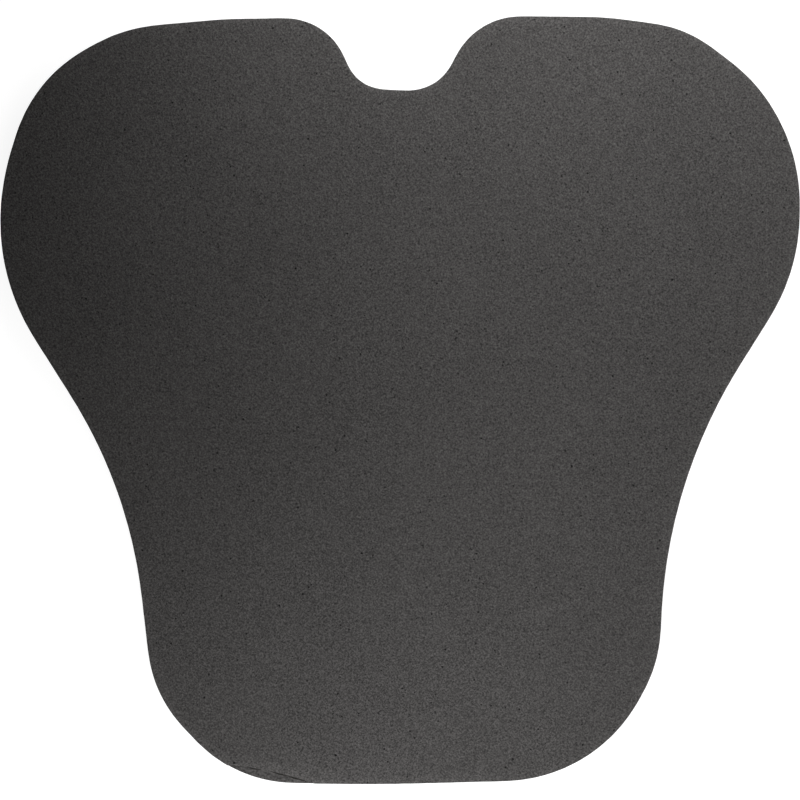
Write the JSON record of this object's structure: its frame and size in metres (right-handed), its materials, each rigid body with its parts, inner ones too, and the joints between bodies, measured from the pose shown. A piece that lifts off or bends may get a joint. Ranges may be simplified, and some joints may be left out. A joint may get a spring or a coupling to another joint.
{
  "type": "back protector",
  "caption": "Flat shield-shaped foam back pad with a neck notch, bonded from plies of closed-cell foam, for the back pocket of a riding jacket.",
  "frame": {"origin": "middle of the underside (the inner face, which lies on the wearer's back)", "axes": "+Z is the thickness, outer face up; +Y points to the neck; +X to the wearer's right"},
  "size_m": [0.3996, 0.3842, 0.01],
  "materials": {
    "face_foam": "matte charcoal, skived closed-cell foam, fine open-cut cells",
    "core_foam": "matte dark grey, closed-cell foam, slightly coarser cells",
    "comfort_foam": "matte near-black, soft closed-cell foam, finest cells",
    "bond_film": "thin smoky adhesive film"
  },
  "bodies": {
    "root": {"inner_comfort_ply": "comfort_foam", "inner_bond_film": "bond_film", "core_ply": "core_foam", "outer_bond_film": "bond_film", "outer_face_ply": "face_foam"}
  },
  "joints": []
}
